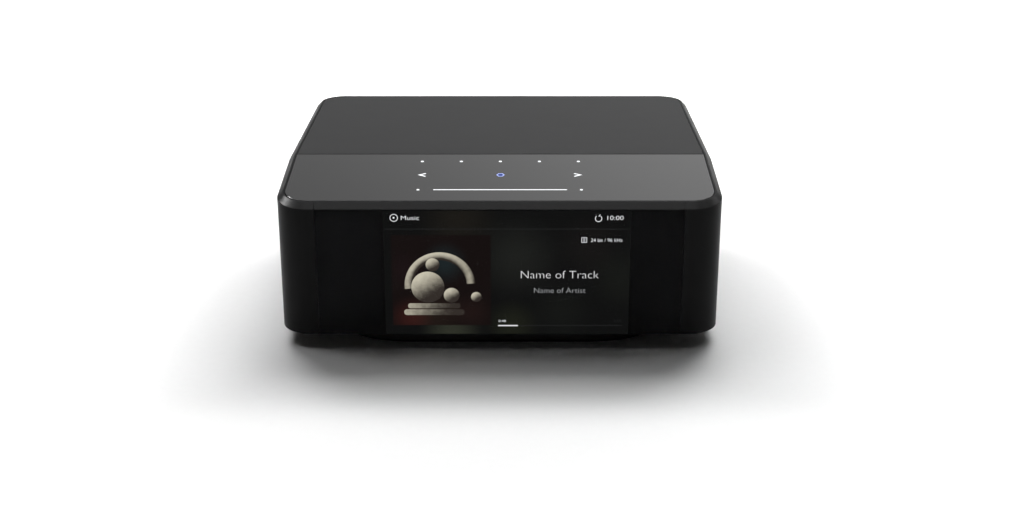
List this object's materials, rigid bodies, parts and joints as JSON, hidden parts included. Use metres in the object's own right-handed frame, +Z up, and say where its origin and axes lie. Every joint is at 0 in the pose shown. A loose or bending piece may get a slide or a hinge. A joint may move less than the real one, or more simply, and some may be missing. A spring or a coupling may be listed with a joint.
{
  "type": "network streamer and dac",
  "caption": "Compact rounded-box desktop streamer and DAC with a glass front display, sloped touch panel, recessed plinth, rear sockets and side headphone jacks.",
  "frame": {"origin": "centre of the case's plan outline, on the surface that the foot ring stands on", "axes": "+X to the right as seen from the front, +Y from the front glass to the rear panel, +Z up"},
  "size_m": [0.22, 0.191, 0.084],
  "materials": {
    "case_black": "satin black, fine texture",
    "front_glass": "gloss black glass, opaque where the display isn't lit",
    "touch_glass": "black glass with a satin anti-glare face",
    "top_cover": "satin black",
    "base_black": "matte black",
    "foot_rubber": "matte",
    "rear_panel": "matte black",
    "steel_sheet": "plain zinc-plated sheet",
    "display": "lit display",
    "clear_acrylic": "clear",
    "black_heatsink": "black anodised",
    "transformer_core": "varnished",
    "capacitor_sleeve": "shrink sleeve",
    "ribbon": "flat flexible cable",
    "black_screw": "black oxide",
    "gold_plate": "gold plated",
    "nickel_shell": "nickel plated",
    "circuit_board": "green solder mask",
    "socket_plastic": "moulded black plastic"
  },
  "bodies": {
    "case": {"antenna_left": "circuit_board", "antenna_right": "circuit_board", "base_pan": "base_black", "base_screw_front_left": "black_screw", "base_screw_front_right": "black_screw", "base_screw_rear_left": "black_screw", "base_screw_rear_right": "black_screw", "board_spacer_left": "steel_sheet", "board_spacer_right": "steel_sheet", "bulk_capacitor": "capacitor_sleeve", "chassis_tray": "steel_sheet", "dac_board": "circuit_board", "display_board": "circuit_board", "display_bracket": "steel_sheet", "display_panel": "display", "display_ribbon": "ribbon", "ethernet_socket": "nickel_shell", "fascia_frame": "case_black", "foot_ring": "foot_rubber", "front_glass": "front_glass", "hdmi_socket": "nickel_shell", "headphone_board_left": "circuit_board", "headphone_board_right": "circuit_board", "headphone_jack_left": "socket_plastic", "headphone_jack_right": "socket_plastic", "heat_sink": "black_heatsink", "housing_wrap": "case_black", "light_guide": "clear_acrylic", "line_in_jack": "socket_plastic", "main_board": "circuit_board", "mains_inlet": "socket_plastic", "optical_socket": "socket_plastic", "panel_screw_high_left": "black_screw", "panel_screw_high_right": "black_screw", "panel_screw_low_left": "black_screw", "panel_screw_low_right": "black_screw", "power_board": "circuit_board", "processor_shield": "nickel_shell", "rca_digital": "gold_plate", "rca_output_left": "gold_plate", "rca_output_right": "gold_plate", "rca_subwoofer": "gold_plate", "rear_panel": "rear_panel", "rear_top_cover": "top_cover", "service_switch": "socket_plastic", "touch_board": "circuit_board", "touch_glass": "touch_glass", "touch_ribbon": "ribbon", "transformer": "transformer_core", "trigger_jack": "socket_plastic", "usb_a_socket": "nickel_shell", "usb_c_socket": "nickel_shell", "wireless_card": "nickel_shell", "xlr_output_left": "nickel_shell", "xlr_output_right": "nickel_shell"},
    "shutter": {"optical_shutter": "socket_plastic"},
    "button": {"service_button": "socket_plastic"}
  },
  "joints": [
    {"name": "shutter_hinge", "type": "hinge", "parent": "case", "child": "shutter", "pos_m": [-0.042, 0.0863, 0.0282], "axis": [-1, 0, 0], "range_deg": [0, 85], "stiffness_Nm_per_rad": 0.00005, "springref_deg": -17.19},
    {"name": "button_press", "type": "slide", "parent": "case", "child": "button", "axis": [0, -1, 0], "range_m": [0, 0.0008], "stiffness_N_per_m": 400, "springref_m": -0.001}
  ]
}
